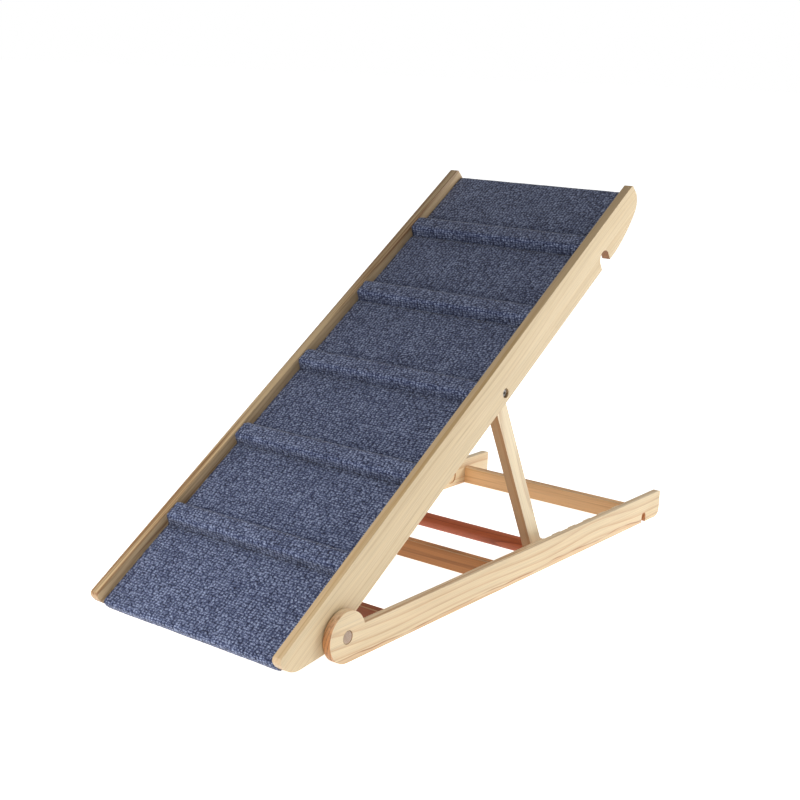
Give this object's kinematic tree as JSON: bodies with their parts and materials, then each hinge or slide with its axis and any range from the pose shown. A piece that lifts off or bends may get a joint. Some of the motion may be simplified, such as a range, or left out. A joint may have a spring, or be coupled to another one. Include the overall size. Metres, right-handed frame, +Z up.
{
  "type": "pet ramp",
  "caption": "Folding wooden pet ramp: carpeted deck with raised footholds between side rails, hinged to a flat base frame and held up by a swinging prop.",
  "frame": {"origin": "on the floor, under the middle of the open ramp's bounding box", "axes": "+Z up, +Y along the ramp from its low end to its high end, +X across it to the right when walking up"},
  "size_m": [0.3914, 1.0044, 0.5976],
  "materials": {
    "wood_rail": "satin",
    "wood_bar": "satin",
    "wood_foot_bar": "satin",
    "wood_dowel": "satin",
    "plywood": "satin",
    "carpet": "matte",
    "steel": "satin"
  },
  "bodies": {
    "base_frame": {"base_rail_left": "wood_rail", "base_rail_right": "wood_rail", "base_bar_near": "wood_bar", "base_bar_middle": "wood_bar", "base_bar_far": "wood_bar", "base_dowels": "wood_dowel", "pivot_dowel_left": "wood_dowel", "pivot_dowel_right": "wood_dowel"},
    "ramp": {"ramp_rail_left": "wood_rail", "ramp_rail_right": "wood_rail", "deck_board": "plywood", "batten_1": "plywood", "batten_2": "plywood", "batten_3": "plywood", "batten_4": "plywood", "batten_5": "plywood", "batten_screws": "steel", "carpet": "carpet", "prop_bolt_left": "steel", "prop_bolt_right": "steel", "prop_washers": "steel", "prop_nuts": "steel"},
    "prop": {"prop_leg_left": "wood_rail", "prop_leg_right": "wood_rail", "foot_bar": "wood_foot_bar"}
  },
  "joints": [
    {"name": "ramp_tilt", "type": "hinge", "parent": "base_frame", "child": "ramp", "pos_m": [0, -0.38583, 0.0367], "axis": [1, 0, 0], "range_deg": [-33.9, 0]},
    {"name": "prop_swing", "type": "hinge", "parent": "ramp", "child": "prop", "pos_m": [0, -0.01162, 0.30724], "axis": [1, 0, 0], "range_deg": [0, 96.65]}
  ],
  "couplings": [
    {"joint": "prop_swing", "follows": "ramp_tilt", "ratio": -2.85}
  ]
}
